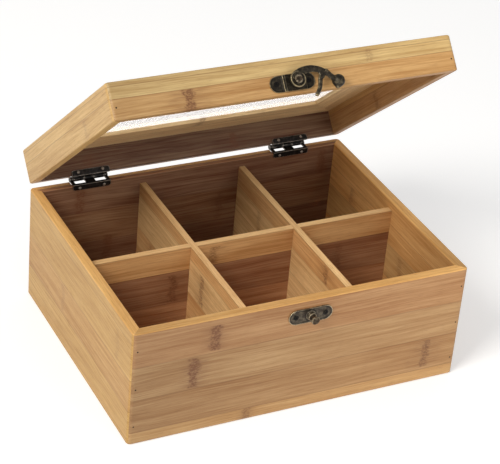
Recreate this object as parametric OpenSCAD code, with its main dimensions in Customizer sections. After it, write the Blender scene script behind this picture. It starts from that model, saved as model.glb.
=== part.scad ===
// Bamboo tea bag organizer: a mitred box with a half-lapped divider grid, a hinged lid with a
// clear window, and a swinging hook latch. The origin is the centre of the underside; +X is the
// right side, +Y the back and +Z up. The lid stands open and the hook is swung aside.

/* [Box] */
// Outer width, side to side
box_width = 215; // [195:1:250]
// Outer depth, front to back
box_depth = 167; // [150:1:195]
// Height of the body, without the lid
body_height = 76; // [60:1:110]
// Thickness of the walls and of the lid rails
wall = 6.3; // [5.5:0.1:8]
// Rounding of the upright corners
corner_round = 2.6; // [1:0.1:4]
// Rounding of the other edges of a board
edge_round = 0.9; // [0.3:0.1:1.2]
// Thickness of the bottom panel
base_thickness = 4; // [3:0.5:6]
// How far the bottom panel reaches into the walls
base_rabbet = 3; // [2:0.5:4]

/* [Dividers] */
// Thickness of the divider boards
divider_thickness = 4; // [3:0.5:6]
// How far the divider tops lie below the rim
divider_drop = 5.5; // [3:0.5:12]

/* [Lid] */
// Height of the lid
lid_height = 21.5; // [20:0.5:30]
// Angle at which the lid stands open
lid_angle = 40.9; // [0:0.1:95]
// Rounding of the lid's top outer edge
lid_round = 1.3; // [0.8:0.1:2.5]
// Height of the window frame's underside above the lid's lower edge
frame_underside = 15.5; // [13:0.5:16]
// Thickness of the window frame members
frame_thickness = 3.7; // [3:0.1:4.5]
// How far the members reach into the rails
frame_tongue = 3; // [2:0.5:4]
// Distance from the lid's outer faces at the front and back to the window opening
window_border = 38.5; // [28:0.5:50]
// Distance from the lid's outer faces at the sides to the window opening
window_side_border = 30; // [24:0.5:42]
// Thickness of the clear pane
pane_thickness = 1.5; // [1:0.1:2]
// Width of the ledge that the pane lies on
pane_ledge = 4; // [2.5:0.5:6]

/* [Hinges] */
// Distance from the side of the box to the middle of each hinge
hinge_inset = 38.5; // [24:0.5:60]
// Width of a hinge
hinge_width = 25; // [22:1:32]
// Space between the rims when the lid is level, filled by the two leaves
hinge_gap = 2.4; // [2:0.1:3]
// Thickness of the leaf metal
leaf_thickness = 0.9; // [0.6:0.1:0.9]
// Outer radius of the barrel
barrel_radius = 1.6; // [1.3:0.05:1.8]
// Radius of the hinge pin
pin_radius = 0.75; // [0.5:0.05:0.8]
// Width of the middle knuckle
middle_knuckle = 6.6; // [5:0.2:8]
// Width of each of the two lid knuckles
lid_knuckle = 6.9; // [5:0.1:7]
// Width of the leaf's solid strip on top of the wall
leaf_strip = 1.15; // [0.8:0.05:1.4]
// How far the slope that clears the barrel reaches in from the back face
relief_run = 4; // [3.4:0.1:4.2]
// How deep that slope is at the back face
relief_drop = 3.2; // [2.2:0.1:4]
// How far the bent edge of a leaf reaches along the wall's inner face
flange_reach = 3; // [2.6:0.1:5]
// Rounding of the flange's free corners
flange_round = 1.6; // [0.5:0.1:2]
// Distance from the middle of a hinge to each nail
nail_offset = 8; // [5:0.5:9]

/* [Catch on the body] */
// Sideways position of the catch
catch_x = 2.6; // [-20:0.1:20]
// Distance of the peg below the rim
catch_drop = 10; // [9.6:0.05:10.4]
// Length of the catch plate
catch_length = 28.2; // [26:0.1:34]
// Height of the catch plate
catch_height = 9.6; // [8:0.1:10]
// Thickness of the catch plate
catch_thickness = 1; // [0.8:0.1:1.2]
// Distance from the peg to each of the plate's screws
catch_screw_offset = 9.5; // [8:0.1:10.5]
// Radius of the groove that the hook grips
groove_radius = 1.8; // [1.4:0.05:1.9]
// Radius of the peg's collar
collar_radius = 2.5; // [2.2:0.05:2.7]
// Radius of the peg's head
head_radius = 2.6; // [2.3:0.05:2.8]
// Thickness of the collar
collar_thickness = 0.9; // [0.6:0.1:1.2]
// Thickness of the head
head_thickness = 1.5; // [1:0.1:2.5]

/* [Hook latch on the lid] */
// Height of the hook's pivot above the lid's lower edge
pivot_height = 7.2; // [6.9:0.05:7.6]
// Sideways distance from the middle of the latch plate to the pivot
pivot_shift = 1.8; // [0:0.1:3]
// Height of the latch plate's middle below the pivot
pivot_rise = 0.6; // [0:0.1:1.5]
// Length of the latch plate
latch_length = 28; // [26:0.1:34]
// Height of the latch plate
latch_height = 9.6; // [8:0.1:10]
// Thickness of the latch plate at its ends
latch_thickness = 0.9; // [0.8:0.1:1.2]
// Thickness of the raised middle of the latch plate
latch_raise = 1.7; // [1.5:0.1:2.2]
// Width of the raised middle
latch_raised_width = 12.4; // [11:0.1:14]
// Distance from the plate's middle to each of its screws
latch_screw_offset = 10; // [9:0.1:10.5]
// Distance from the lid's front face to the back of the hook
hook_stand = 3.75; // [3.6:0.05:4.5]
// Thickness of the hook
hook_thickness = 1.9; // [1.5:0.1:2]
// Radius of the eye round the pivot
eye_radius = 4.7; // [4:0.1:5]
// Radius of the rivet
rivet_radius = 1.5; // [1.2:0.05:1.7]
// Radius of the rivet's head
rivet_head_radius = 2.4; // [2.2:0.1:3]
// Inner radius of the prong, round the pivot
prong_inner = 12.8; // [12.4:0.05:12.9]
// Outer radius of the prong, round the pivot
prong_outer = 15.1; // [14.8:0.05:15.15]
// Outer radius of the arch
arch_radius = 18; // [17.8:0.05:18.3]
// Height of the arch's top above the pivot
arch_top = 7; // [6.8:0.05:7.3]
// Width of the arch
arch_width = 3.4; // [3:0.05:3.5]
// Radius of the knob
knob_radius = 3.9; // [3.4:0.1:4]
// Radius of the knob's blunt tip
tip_radius = 1.3; // [0.8:0.1:1.6]

/* [Fasteners] */
// Radius of the hinge nails
nail_radius = 0.45; // [0.3:0.05:0.6]
// Radius of the hinge nails' heads
nail_head_radius = 0.95; // [0.8:0.05:1.1]
// Length of a hinge nail in the wood
nail_length = 4; // [3:0.1:4.5]
// Radius of the screws' shanks
screw_radius = 0.8; // [0.6:0.05:0.9]
// Radius of the screws' heads
screw_head_radius = 1.6; // [1.4:0.05:1.8]
// Length of a screw in the wood
screw_length = 4; // [3:0.1:4.5]
// Radius of the brads through the corners
brad_radius = 0.5; // [0.4:0.05:0.6]
// Length of a brad
brad_length = 14; // [12:0.5:18]
// Distance of the brads from the side faces
brad_inset = 3.2; // [2.4:0.1:3.8]
// Distance of the upper body brads below the rim
brad_from_rim = 12; // [8:0.5:20]
// Distance of the lower body brads above the underside
brad_from_base = 12.3; // [10:0.1:20]
// Height of the lid's brads above its lower edge
brad_in_lid = 7; // [5:0.5:9]

/* [Clearances] */
// Clearance round glued and let-in wooden parts
wood_fit = 0.1; // [0.05:0.05:0.2]
// Radial clearance of a pin or rivet in a turning part
running_fit = 0.05; // [0.02:0.01:0.09]
// Radial clearance of nails, screws and rivets in their holes
shank_fit = 0.02; // [0.01:0.01:0.04]
// Sideways clearance between neighbouring knuckles
knuckle_play = 0.2; // [0.1:0.05:0.3]
// Clearance between the hook and the faces beside it
hook_play = 0.1; // [0.05:0.05:0.2]
// Clearance between the hook and the peg's collar and head
groove_play = 0.45; // [0.4:0.05:0.6]

/* [Hidden] */

$fn = 48;

BAMBOO = [0.83, 0.66, 0.42];
BAMBOO_DARK = [0.72, 0.53, 0.32];
BRONZE = [0.27, 0.23, 0.18];
BLACKENED = [0.12, 0.11, 0.11];
STEEL = [0.62, 0.6, 0.57];
CLEAR = [0.85, 0.92, 0.95, 0.35];

// A cutting tool runs this far past the faces that it opens
past = 1;

inner_width = box_width - 2 * wall;
inner_depth = box_depth - 2 * wall;
divider_height = body_height - divider_drop - base_thickness;
column_width = (inner_width - 2 * divider_thickness) / 3;
cross_divider_x = (column_width + divider_thickness) / 2;

window_width = box_width - 2 * window_side_border;
window_depth = box_depth - 2 * window_border;
pane_height = frame_underside + frame_thickness - pane_thickness;

hinge_axis_z = body_height + hinge_gap / 2;
hinge_x = box_width / 2 - hinge_inset;
middle_edge = middle_knuckle / 2;
lid_edge = middle_edge + lid_knuckle;

// The pivot is straight above the peg when the lid is shut
pivot_x = catch_x;
plate_x = pivot_x - pivot_shift;

// The hook's points and angles are counted from its pivot, with the hook swung to the right
arch_centre = [7.3, arch_top - arch_radius];
arch_from = 35;
arch_to = 122;
prong_end = -46;
prong_root = 14;
knob_centre = [24.2, -4.4];
knob_tip = [22.3, -7.2];
collar_front = hook_stand - groove_play;
head_back = hook_stand + hook_thickness + groove_play;

// Shared shapes

// The waste outside a quarter circle of radius r in the corner of the first quadrant
module corner_waste(r) {
  difference() {
    translate([-past, -past]) square(r + past);
    translate([r, r]) circle(r);
  }
}

// Section of a board with its outer face at x = 0 and its lower face at y = 0
module board_section(height, top_round) {
  difference() {
    square([wall, height]);
    corner_waste(edge_round);
    translate([wall, 0]) mirror([1, 0]) corner_waste(edge_round);
    translate([0, height]) mirror([0, 1]) corner_waste(top_round);
    translate([wall, height]) rotate(180) corner_waste(edge_round);
  }
}

// The outer quarter of an upright corner, with its top and bottom edges rounded like a board's
module corner_post(height, top_round) {
  rotate_extrude(angle = 90) difference() {
    square([corner_round, height]);
    translate([corner_round, 0]) mirror([1, 0]) corner_waste(edge_round);
    translate([corner_round, height]) rotate(180) corner_waste(top_round);
  }
}

// Plan of the mitred board on one side of a ring: 0 front, 90 right, 180 back, 270 left
module mitre_plan(turn, width, depth, side_board, front_board) {
  along_x = turn % 180 == 0;
  length = along_x ? width : depth;
  reach = along_x ? depth / 2 : width / 2;
  board = along_x ? front_board : side_board;
  inset = along_x ? side_board : front_board;
  rotate(turn) translate([0, -reach])
    polygon([[-length / 2, 0], [length / 2, 0], [length / 2 - inset, board], [inset - length / 2, board]]);
}

// One of the four mitred boards that form the walls or the lid rails
module ring_board(turn, height, top_round) {
  length = turn % 180 == 0 ? box_width : box_depth;
  reach = turn % 180 == 0 ? box_depth / 2 : box_width / 2;
  straight = length - 2 * corner_round;
  intersection() {
    rotate(turn) translate([0, -reach, 0]) {
      rotate([90, 0, 90]) linear_extrude(straight, center = true) board_section(height, top_round);
      for (end = [0, 1]) mirror([end, 0, 0])
        translate([straight / 2, corner_round, 0]) rotate(-90) corner_post(height, top_round);
    }
    linear_extrude(height) mitre_plan(turn, box_width, box_depth, wall, wall);
  }
}

// Places a child on the front face of the body: its x and y lie in the face, its z points out
module on_body_front(x, z) {
  translate([x, -box_depth / 2, z]) rotate([90, 0, 0]) children();
}

// Places a child that is drawn with the lid's lower edge at z = 0 and the box centre at x = y = 0
module on_lid() {
  translate([0, box_depth / 2, hinge_axis_z]) rotate([-lid_angle, 0, 0])
    translate([0, -box_depth / 2, hinge_gap / 2]) children();
}

module on_lid_front(x, z) {
  on_lid() translate([x, -box_depth / 2, z]) rotate([90, 0, 0]) children();
}

module obround(length, height) {
  square([length - height, height], center = true);
  for (x = [-1, 1]) translate([x * (length - height) / 2, 0]) circle(height / 2);
}

// Walls and bottom of the body

module base_space() {
  cube([inner_width + 2 * base_rabbet, inner_depth + 2 * base_rabbet, 2 * base_thickness], center = true);
}

module corner_brads(r) {
  for (x = [-1, 1], turn = [0, 180]) rotate(turn)
    translate([x * (box_width / 2 - brad_inset), -box_depth / 2, 0]) rotate([-90, 0, 0])
      cylinder(r = r, h = brad_length);
}

// Three brads up each corner, the middle one halfway
module all_body_brads(r) {
  top = body_height - brad_from_rim;
  for (z = [brad_from_base, (brad_from_base + top) / 2, top]) translate([0, 0, z]) corner_brads(r);
}

module body_board(turn) {
  difference() {
    ring_board(turn, body_height, edge_round);
    base_space();
    all_body_brads(brad_radius + shank_fit);
  }
}

module front_panel() {
  color(BAMBOO) difference() {
    body_board(0);
    on_body_front(catch_x, body_height - catch_drop)
      screw_holes(catch_screw_offset, screw_length + shank_fit);
  }
}

module back_panel() {
  color(BAMBOO) difference() {
    body_board(180);
    for (side = [-1, 1]) at_hinge(side) {
      barrel_relief();
      leaf_nails(nail_radius + shank_fit, nail_length + shank_fit);
    }
  }
}

module left_panel() {
  color(BAMBOO_DARK) body_board(270);
}

module right_panel() {
  color(BAMBOO_DARK) body_board(90);
}

module bottom_panel() {
  color(BAMBOO) translate([0, 0, base_thickness / 2])
    cube([inner_width + 2 * (base_rabbet - wood_fit), inner_depth + 2 * (base_rabbet - wood_fit),
          base_thickness], center = true);
}

// Divider grid

// An upright board along X on the bottom panel, notched down to or up to half its height
module divider_board(length, notches, from_top) {
  translate([0, 0, base_thickness]) difference() {
    translate([-length / 2, -divider_thickness / 2, 0]) cube([length, divider_thickness, divider_height]);
    for (x = notches)
      translate([x, 0, from_top ? divider_height : 0])
        cube([divider_thickness + 2 * wood_fit, divider_thickness + 2 * past, divider_height + wood_fit],
             center = true);
  }
}

module long_divider() {
  color(BAMBOO)
    divider_board(inner_width - 2 * wood_fit, [-cross_divider_x, cross_divider_x], true);
}

module cross_divider(side) {
  color(BAMBOO_DARK) translate([side * cross_divider_x, 0, 0]) rotate(90)
    divider_board(inner_depth - 2 * wood_fit, [0], false);
}

// Hinges, drawn round the middle of the pin with the leaf of the body below it

module at_hinge(side) {
  translate([side * hinge_x, box_depth / 2, hinge_axis_z]) children();
}

// The lid's half of a hinge mirrors the body's half about the pin
module at_lid_hinge(side) {
  translate([side * hinge_x, box_depth / 2, -hinge_gap / 2]) mirror([0, 0, 1]) children();
}

// The slope cut in the wood behind a leaf's strip
module barrel_relief() {
  drop = relief_drop * (relief_run + past) / relief_run;
  translate([0, 0, -hinge_gap / 2]) rotate([90, 0, 90])
    linear_extrude(hinge_width + 2 * knuckle_play, center = true)
      polygon([[-relief_run, 0], [past, -drop], [past, past], [-relief_run, past]]);
}

module along_pin(from, to, r) {
  translate([from, 0, 0]) rotate([0, 90, 0]) cylinder(r = r, h = to - from);
}

// A knuckle with the tongue of leaf metal that runs back to the strip
module knuckle(from, to) {
  along_pin(from, to, barrel_radius);
  translate([from, -wall, -hinge_gap / 2]) cube([to - from, wall, leaf_thickness]);
}

module leaf_nails(r, length) {
  for (x = [-1, 1]) translate([x * nail_offset, -wall - leaf_thickness, -hinge_gap / 2 - flange_reach / 2])
    rotate([-90, 0, 0]) cylinder(r = r, h = leaf_thickness + length, $fn = 24);
}

// The flange's outline, x sideways and y up to the bend
module flange_outline() {
  difference() {
    translate([-hinge_width / 2, -flange_reach]) square([hinge_width, flange_reach + leaf_thickness]);
    for (side = [0, 1]) mirror([side, 0])
      translate([-hinge_width / 2, -flange_reach]) corner_waste(flange_round);
  }
}

// A leaf bent over the inner edge of the wall, with a knuckle for each pair of ends in spans
module hinge_leaf(spans) {
  difference() {
    union() {
      translate([-hinge_width / 2, -wall - leaf_thickness, -hinge_gap / 2])
        cube([hinge_width, leaf_thickness + leaf_strip, leaf_thickness]);
      translate([0, -wall, -hinge_gap / 2]) rotate([90, 0, 0])
        linear_extrude(leaf_thickness) flange_outline();
      for (span = spans) knuckle(span[0], span[1]);
    }
    along_pin(-hinge_width, hinge_width, pin_radius + running_fit);
    leaf_nails(nail_radius + shank_fit, past);
  }
}

module body_leaf(side) {
  half_play = knuckle_play / 2;
  color(BLACKENED) at_hinge(side) hinge_leaf([
    [-hinge_width / 2, -lid_edge - half_play],
    [half_play - middle_edge, middle_edge - half_play],
    [lid_edge + half_play, hinge_width / 2]
  ]);
}

module lid_leaf(side) {
  half_play = knuckle_play / 2;
  color(BLACKENED) on_lid() at_lid_hinge(side) hinge_leaf([
    [half_play - lid_edge, -middle_edge - half_play],
    [middle_edge + half_play, lid_edge - half_play]
  ]);
}

module hinge_pin(side) {
  color(STEEL) at_hinge(side) along_pin(-hinge_width / 2, hinge_width / 2, pin_radius);
}

// Nails with shallow domed heads on the flange
module headed_nails() {
  head_height = nail_head_radius / 2;
  leaf_nails(nail_radius, nail_length);
  for (x = [-1, 1])
    translate([x * nail_offset, -wall - leaf_thickness, -hinge_gap / 2 - flange_reach / 2])
      rotate([90, 0, 0]) cylinder(r1 = nail_head_radius, r2 = nail_radius, h = head_height, $fn = 24);
}

module hinge_body_nails() {
  color(STEEL) for (side = [-1, 1]) at_hinge(side) headed_nails();
}

module hinge_lid_nails() {
  color(STEEL) on_lid() for (side = [-1, 1]) at_lid_hinge(side) headed_nails();
}

// Fasteners of the plates, in plate coordinates with the wood's face at z = 0

module screw_holes(offset, depth) {
  for (x = [-offset, offset]) translate([x, 0, -depth])
    cylinder(r = screw_radius + shank_fit, h = depth + latch_raise + past, $fn = 32);
}

module countersinks(offset, thickness) {
  for (x = [-offset, offset]) translate([x, 0, thickness - screw_head_radius + screw_radius])
    cylinder(r1 = screw_radius + shank_fit, r2 = screw_head_radius + shank_fit,
             h = screw_head_radius - screw_radius, $fn = 32);
}

// Countersunk screws with a cross recess, flush with the plate
module plate_screws(offset, thickness) {
  cone = screw_head_radius - screw_radius;
  recess = 0.35;
  for (x = [-offset, offset]) translate([x, 0, 0]) difference() {
    union() {
      translate([0, 0, -screw_length]) cylinder(r = screw_radius, h = screw_length + thickness - cone, $fn = 32);
      translate([0, 0, thickness - cone])
        cylinder(r1 = screw_radius, r2 = screw_head_radius, h = cone, $fn = 32);
    }
    for (turn = [45, 135]) translate([0, 0, thickness]) rotate(turn)
      cube([2 * screw_radius, recess, 2 * recess], center = true);
  }
}

// Catch plate and peg on the front of the body

module at_catch() {
  on_body_front(catch_x, body_height - catch_drop) children();
}

module catch_plate() {
  color(BRONZE) at_catch() difference() {
    linear_extrude(catch_thickness) obround(catch_length, catch_height);
    screw_holes(catch_screw_offset, past);
    countersinks(catch_screw_offset, catch_thickness);
    translate([0, 0, -past]) cylinder(r = rivet_radius + shank_fit, h = catch_thickness + 2 * past);
  }
}

// Stem, foot, collar, grooved neck and domed head of the peg
module catch_peg() {
  dome = 0.4;
  color(BRONZE) at_catch() {
    cylinder(r = rivet_radius, h = catch_thickness);
    translate([0, 0, catch_thickness]) cylinder(r = groove_radius, h = head_back - catch_thickness);
    translate([0, 0, collar_front - collar_thickness]) cylinder(r = collar_radius, h = collar_thickness);
    translate([0, 0, head_back]) cylinder(r = head_radius, h = head_thickness - dome);
    translate([0, 0, head_back + head_thickness - dome])
      cylinder(r1 = head_radius, r2 = head_radius - 2 * dome, h = dome);
  }
}

module catch_screws() {
  color(STEEL) at_catch() plate_screws(catch_screw_offset, catch_thickness);
}

// Lid rails

module frame_space() {
  translate([0, 0, frame_underside + frame_thickness / 2])
    cube([inner_width + 2 * frame_tongue, inner_depth + 2 * frame_tongue, frame_thickness], center = true);
}

module all_lid_brads(r) {
  translate([0, 0, brad_in_lid]) corner_brads(r);
}

module lid_board(turn) {
  difference() {
    ring_board(turn, lid_height, lid_round);
    frame_space();
    all_lid_brads(brad_radius + shank_fit);
  }
}

module lid_front_rail() {
  color(BAMBOO) on_lid() difference() {
    lid_board(0);
    translate([plate_x, -box_depth / 2, pivot_height - pivot_rise]) rotate([90, 0, 0])
      screw_holes(latch_screw_offset, screw_length + shank_fit);
  }
}

module lid_back_rail() {
  color(BAMBOO) on_lid() difference() {
    lid_board(180);
    for (side = [-1, 1]) at_lid_hinge(side) {
      barrel_relief();
      leaf_nails(nail_radius + shank_fit, nail_length + shank_fit);
    }
  }
}

module lid_side_rail(turn) {
  color(BAMBOO_DARK) on_lid() lid_board(turn);
}

// Window frame and pane

module frame_member(turn) {
  ring_width = inner_width + 2 * (frame_tongue - wood_fit);
  ring_depth = inner_depth + 2 * (frame_tongue - wood_fit);
  color(BAMBOO) on_lid() difference() {
    translate([0, 0, frame_underside]) linear_extrude(frame_thickness)
      mitre_plan(turn, ring_width, ring_depth, (ring_width - window_width) / 2, (ring_depth - window_depth) / 2);
    translate([0, 0, pane_height + pane_thickness])
      cube([window_width + 2 * pane_ledge, window_depth + 2 * pane_ledge, 2 * pane_thickness], center = true);
  }
}

module window_pane() {
  spread = 2 * (pane_ledge - wood_fit);
  color(CLEAR) on_lid() translate([0, 0, pane_height + pane_thickness / 2])
    cube([window_width + spread, window_depth + spread, pane_thickness], center = true);
}

// Latch on the front of the lid

module at_latch_plate() {
  on_lid_front(plate_x, pivot_height - pivot_rise) children();
}

module at_pivot() {
  on_lid_front(pivot_x, pivot_height) children();
}

module latch_plate() {
  color(BRONZE) at_latch_plate() difference() {
    union() {
      linear_extrude(latch_thickness) obround(latch_length, latch_height);
      linear_extrude(latch_raise) intersection() {
        obround(latch_length, latch_height);
        translate([pivot_shift - latch_raised_width / 2, -latch_height]) square([latch_raised_width, 2 * latch_height]);
      }
    }
    screw_holes(latch_screw_offset, past);
    countersinks(latch_screw_offset, latch_thickness);
    translate([pivot_shift, pivot_rise, -past]) cylinder(r = rivet_radius + shank_fit, h = latch_raise + 2 * past);
  }
}

// Tail through the plate, spacer behind the hook, shank and domed head with a dimple
module latch_rivet() {
  hook_front = hook_stand + hook_thickness + hook_play;
  head_height = 0.9;
  color(BRONZE) at_pivot() difference() {
    union() {
      cylinder(r = rivet_radius, h = hook_front);
      translate([0, 0, latch_raise])
        cylinder(r = rivet_head_radius, h = hook_stand - hook_play - latch_raise);
      translate([0, 0, hook_front])
        cylinder(r1 = rivet_head_radius, r2 = rivet_head_radius - head_height / 2, h = head_height);
    }
    translate([0, 0, hook_front + head_height]) sphere(r = head_height * 0.7);
  }
}

module latch_screws() {
  color(STEEL) at_latch_plate() plate_screws(latch_screw_offset, latch_thickness);
}

// Part of a flat ring between two angles less than half a turn apart
module arc_band(inner, outer, from, to) {
  far = 2 * outer;
  middle = (from + to) / 2;
  intersection() {
    difference() {
      circle(outer, $fn = 96);
      circle(inner, $fn = 96);
    }
    polygon([[0, 0], far * [cos(from), sin(from)], far * [cos(middle), sin(middle)], far * [cos(to), sin(to)]]);
  }
}

// The hook's flat outline round its pivot: eye, arch, prong and neck
module hook_outline() {
  prong_width = prong_outer - prong_inner;
  prong_middle = (prong_inner + prong_outer) / 2;
  arch_middle = arch_radius - arch_width / 2;
  difference() {
    union() {
      circle(eye_radius);
      translate(arch_centre) arc_band(arch_radius - arch_width, arch_radius, arch_from, arch_to);
      translate(arch_centre + arch_middle * [cos(arch_from), sin(arch_from)]) circle(arch_width / 2);
      arc_band(prong_inner, prong_outer, prong_end, prong_root);
      translate(prong_middle * [cos(prong_end), sin(prong_end)]) circle(prong_width / 2);
    }
    circle(rivet_radius + running_fit);
  }
}

// The knob is a ball that tapers to a blunt tip
module knob() {
  lean = knob_tip - knob_centre;
  translate([knob_centre.x, knob_centre.y, 0]) {
    sphere(knob_radius);
    rotate(atan2(lean.y, lean.x)) rotate([0, 90, 0]) {
      cylinder(r1 = knob_radius, r2 = tip_radius, h = norm(lean));
      translate([0, 0, norm(lean)]) sphere(tip_radius);
    }
  }
}

module latch_hook() {
  color(BRONZE) at_pivot() translate([0, 0, hook_stand]) {
    linear_extrude(hook_thickness) hook_outline();
    translate([0, 0, hook_thickness / 2]) knob();
  }
}

front_panel();
back_panel();
left_panel();
right_panel();
bottom_panel();
long_divider();
cross_divider(-1);  // left_cross_divider
cross_divider(1);  // right_cross_divider
body_leaf(-1);  // left_hinge_body_leaf
body_leaf(1);  // right_hinge_body_leaf
hinge_pin(-1);  // left_hinge_pin
hinge_pin(1);  // right_hinge_pin
hinge_body_nails();
color(STEEL) all_body_brads(brad_radius);  // body_brads
catch_plate();
catch_peg();
catch_screws();
lid_front_rail();
lid_back_rail();
lid_side_rail(270);  // lid_left_rail
lid_side_rail(90);  // lid_right_rail
frame_member(0);  // window_frame_front
frame_member(180);  // window_frame_back
frame_member(270);  // window_frame_left
frame_member(90);  // window_frame_right
window_pane();
lid_leaf(-1);  // left_hinge_lid_leaf
lid_leaf(1);  // right_hinge_lid_leaf
hinge_lid_nails();
color(STEEL) on_lid() all_lid_brads(brad_radius);  // lid_brads
latch_plate();
latch_rivet();
latch_screws();
latch_hook();
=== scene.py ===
import math

import bpy
import numpy as np
from mathutils import Matrix, Vector


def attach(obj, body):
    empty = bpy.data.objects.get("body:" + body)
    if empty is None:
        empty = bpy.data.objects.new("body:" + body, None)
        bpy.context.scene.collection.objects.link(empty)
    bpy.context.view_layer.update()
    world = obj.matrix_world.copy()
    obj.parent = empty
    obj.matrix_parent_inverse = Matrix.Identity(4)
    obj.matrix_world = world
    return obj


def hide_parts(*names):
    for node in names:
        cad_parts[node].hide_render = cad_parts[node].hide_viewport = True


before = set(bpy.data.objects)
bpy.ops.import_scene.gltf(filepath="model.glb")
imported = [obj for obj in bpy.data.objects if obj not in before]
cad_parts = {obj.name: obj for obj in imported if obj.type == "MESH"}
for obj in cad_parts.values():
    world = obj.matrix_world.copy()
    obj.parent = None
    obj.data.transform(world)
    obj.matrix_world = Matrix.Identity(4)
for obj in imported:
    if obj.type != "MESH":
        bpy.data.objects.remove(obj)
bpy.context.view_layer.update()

# Places of the box, in metres

boxDepth = 0.167
bodyHeight = 0.076
rimGap = 0.0024  # between the body's rim and the lid's
lidAngle = math.radians(40.9)
sideways = Vector((1, 0, 0))
backwards = Vector((0, 1, 0))
upwards = Vector((0, 0, 1))
lidUp = Vector((0, math.sin(lidAngle), math.cos(lidAngle)))
lidBack = Vector((0, math.cos(lidAngle), -math.sin(lidAngle)))
hingeAxis = Vector((0, boxDepth / 2, bodyHeight + rimGap / 2))
lidCentre = hingeAxis + rimGap / 2 * lidUp - boxDepth / 2 * lidBack  # middle of the lid, at its lower edge


def mm(*values):
    return tuple(v / 1000 for v in values)


def srgb(*levels):
    # A colour as it looks on a screen, 0 to 255, as the linear values that sockets take
    shares = [level / 255 for level in levels]
    linear = [share / 12.92 if share <= 0.04 else ((share + 0.055) / 1.055) ** 2.4 for share in shares]
    return (*linear, 1.0)


# Nodes

def addNode(tree, kind, inputs=None, **settings):
    # Each input is linked when its value is a socket, and set when it is anything else
    node = tree.nodes.new(kind)
    for key, value in settings.items():
        setattr(node, key, value)
    for key, value in (inputs or {}).items():
        if isinstance(value, bpy.types.NodeSocket):
            tree.links.new(value, node.inputs[key])
        else:
            node.inputs[key].default_value = value
    return node


def addGroup(tree, group, inputs):
    return addNode(tree, "ShaderNodeGroup", inputs, node_tree=group).outputs


def mathOf(tree, operation, first, second=0.0, third=0.0):
    node = addNode(tree, "ShaderNodeMath", {0: first, 1: second, 2: third}, operation=operation)
    return node.outputs[0]


def scaled(tree, vector, x, y, z):
    node = addNode(tree, "ShaderNodeVectorMath", {0: vector, 1: (x, y, z)}, operation="MULTIPLY")
    return node.outputs[0]


def noiseOf(tree, vector, detail=2.0, roughness=0.5):
    node = addNode(tree, "ShaderNodeTexNoise", {
        "Vector": vector, "Scale": 1.0, "Detail": detail, "Roughness": roughness,
    })
    return node.outputs["Fac"]


def rangeOf(tree, value, low, high, toLow=0.0, toHigh=1.0, smooth=False):
    node = addNode(tree, "ShaderNodeMapRange", {
        "Value": value, "From Min": low, "From Max": high, "To Min": toLow, "To Max": toHigh,
    }, interpolation_type="SMOOTHSTEP" if smooth else "LINEAR")
    return node.outputs["Result"]


def blendOf(tree, factor, first, second, mode="MIX"):
    sockets = {0: factor, 6: first, 7: second}  # the color sockets of the node have no names of their own
    node = addNode(tree, "ShaderNodeMix", sockets, data_type="RGBA", blend_type=mode)
    return node.outputs[2]


def clamped(tree, value):
    return addNode(tree, "ShaderNodeClamp", {"Value": value}).outputs[0]


def joinSockets(tree, outputs, inputs, names):
    for name, socketName in names.items():
        tree.links.new(outputs[name], inputs[socketName])


def newGroup(name, takes, gives):
    tree = bpy.data.node_groups.new(name, "ShaderNodeTree")
    for socketName, kind, value in takes:
        socket = tree.interface.new_socket(socketName, in_out="INPUT", socket_type=kind)
        if value is not None:
            socket.default_value = value
    for socketName, kind in gives:
        tree.interface.new_socket(socketName, in_out="OUTPUT", socket_type=kind)
    return tree, tree.nodes.new("NodeGroupInput"), tree.nodes.new("NodeGroupOutput")


def newMaterial(name):
    material = bpy.data.materials.new(name)
    material.use_nodes = True
    tree = material.node_tree
    return material, tree, tree.nodes["Principled BSDF"]


# A node of the bamboo cane: a speckled column across one strip, with a haze along the grain

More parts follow.
